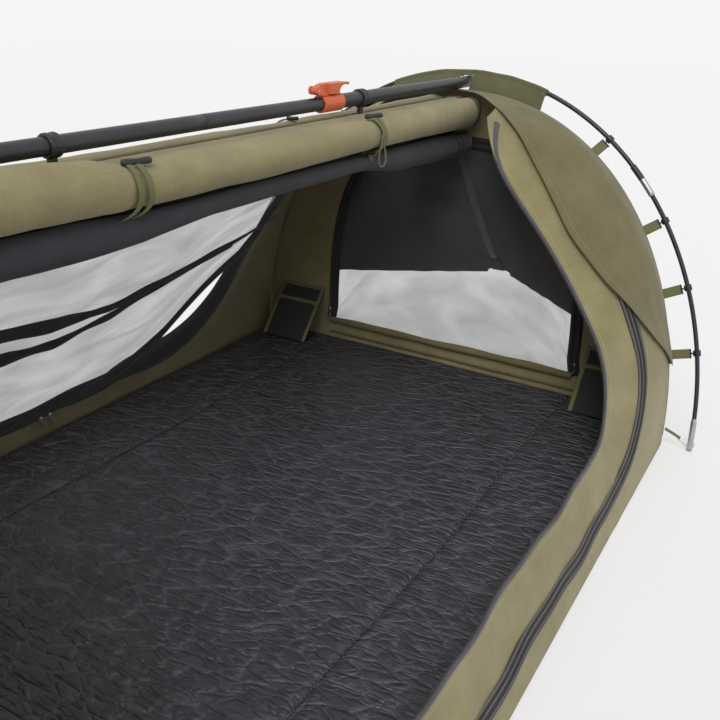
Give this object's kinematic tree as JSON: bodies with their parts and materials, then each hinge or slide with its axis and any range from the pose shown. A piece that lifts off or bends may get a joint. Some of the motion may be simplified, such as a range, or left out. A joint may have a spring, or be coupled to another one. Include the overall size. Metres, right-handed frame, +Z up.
{
  "type": "swag bedroll",
  "caption": "Two-person canvas swag bedroll with an arched hoop at each end, a telescopic ridge pole with a flip lock, rolled side doors, a netting door, a head window awning and a mattress.",
  "frame": {"origin": "centre of the flat underside of the base", "axes": "+X towards the open near long side, +Y towards the head end with the window awning, +Z up"},
  "size_m": [1.5608, 2.6274, 0.9805],
  "materials": {
    "canvas": "woven cotton and polyester canvas, matt",
    "webbing": "woven olive webbing and binding",
    "netting": "fine black insect netting",
    "netting_pale": "fine insect netting, pale where light passes",
    "zip_tape": "black zip tape with coil",
    "pvc": "coated floor cloth",
    "foam": "open-cell foam",
    "cover": "charcoal mattress cover, crinkled",
    "black_plastic": "moulded black plastic",
    "pole": "satin black powder coat",
    "alloy": "plain drawn aluminium",
    "steel": "bright plated steel",
    "orange_plastic": "moulded orange plastic"
  },
  "bodies": {
    "shelter": {"awning_strap": "webbing", "base_tub": "pvc", "far_door_roll": "canvas", "far_foot_corner_link": "webbing", "far_head_corner_link": "webbing", "far_mesh_door": "netting_pale", "far_mesh_zip": "zip_tape", "far_pocket": "black_plastic", "far_side_wall": "canvas", "foot_hoop_far_ferrule": "alloy", "foot_hoop_far_leg": "pole", "foot_hoop_near_ferrule": "alloy", "foot_hoop_near_leg": "pole", "foot_hoop_top": "pole", "foot_piping": "webbing", "foot_sleeve": "canvas", "foot_storm_hood": "canvas", "foot_wall": "canvas", "head_hoop_far_ferrule": "alloy", "head_hoop_far_leg": "pole", "head_hoop_near_ferrule": "alloy", "head_hoop_near_leg": "pole", "head_hoop_top": "pole", "head_piping": "webbing", "head_sleeve": "canvas", "head_storm_hood": "canvas", "head_wall": "canvas", "lock_collar": "orange_plastic", "lock_pin": "steel", "mattress_core": "foam", "mattress_cover": "cover", "near_door_roll": "canvas", "near_door_zip": "zip_tape", "near_foot_corner_link": "webbing", "near_head_clip_1": "black_plastic", "near_head_clip_2": "black_plastic", "near_head_clip_3": "black_plastic", "near_head_clip_4": "black_plastic", "near_head_corner_link": "webbing", "near_mesh_roll": "netting", "near_mesh_zip": "zip_tape", "near_pocket": "black_plastic", "near_side_wall": "canvas", "near_tie_1": "webbing", "near_tie_2": "webbing", "ridge_clip_1": "black_plastic", "ridge_clip_2": "black_plastic", "ridge_head_cap": "black_plastic", "ridge_outer_tube": "pole", "roof_strip": "canvas", "window_awning": "canvas", "window_mesh": "netting", "window_zip": "zip_tape"},
    "inner_pole": {"ridge_inner_tube": "pole", "ridge_foot_cap": "black_plastic"},
    "lock_lever": {"lock_lever": "orange_plastic"},
    "slider_1": {"mesh_slider_1": "steel"},
    "slider_2": {"mesh_slider_2": "steel"},
    "puller_1": {"mesh_puller_1": "black_plastic"},
    "puller_2": {"mesh_puller_2": "black_plastic"}
  },
  "joints": [
    {"name": "ridge_pole_slide", "type": "slide", "parent": "shelter", "child": "inner_pole", "axis": [0, 1, 0], "range_m": [0, 0.5]},
    {"name": "lock_lever_hinge", "type": "hinge", "parent": "shelter", "child": "lock_lever", "pos_m": [0, 0.3436, 0.9685], "axis": [1, 0, 0], "range_deg": [0, 110]},
    {"name": "mesh_slider_1_slide", "type": "slide", "parent": "shelter", "child": "slider_1", "axis": [0, 1, 0], "range_m": [-0.5, 0]},
    {"name": "mesh_slider_2_slide", "type": "slide", "parent": "shelter", "child": "slider_2", "axis": [0, 1, 0], "range_m": [0, 0.45]},
    {"name": "mesh_puller_1_hinge", "type": "hinge", "parent": "slider_1", "child": "puller_1", "pos_m": [-0.63782, 0.035, 0.15267], "axis": [0, -1, 0], "range_deg": [0, 80]},
    {"name": "mesh_puller_2_hinge", "type": "hinge", "parent": "slider_2", "child": "puller_2", "pos_m": [-0.63782, 0.062, 0.15267], "axis": [0, -1, 0], "range_deg": [0, 80]}
  ]
}
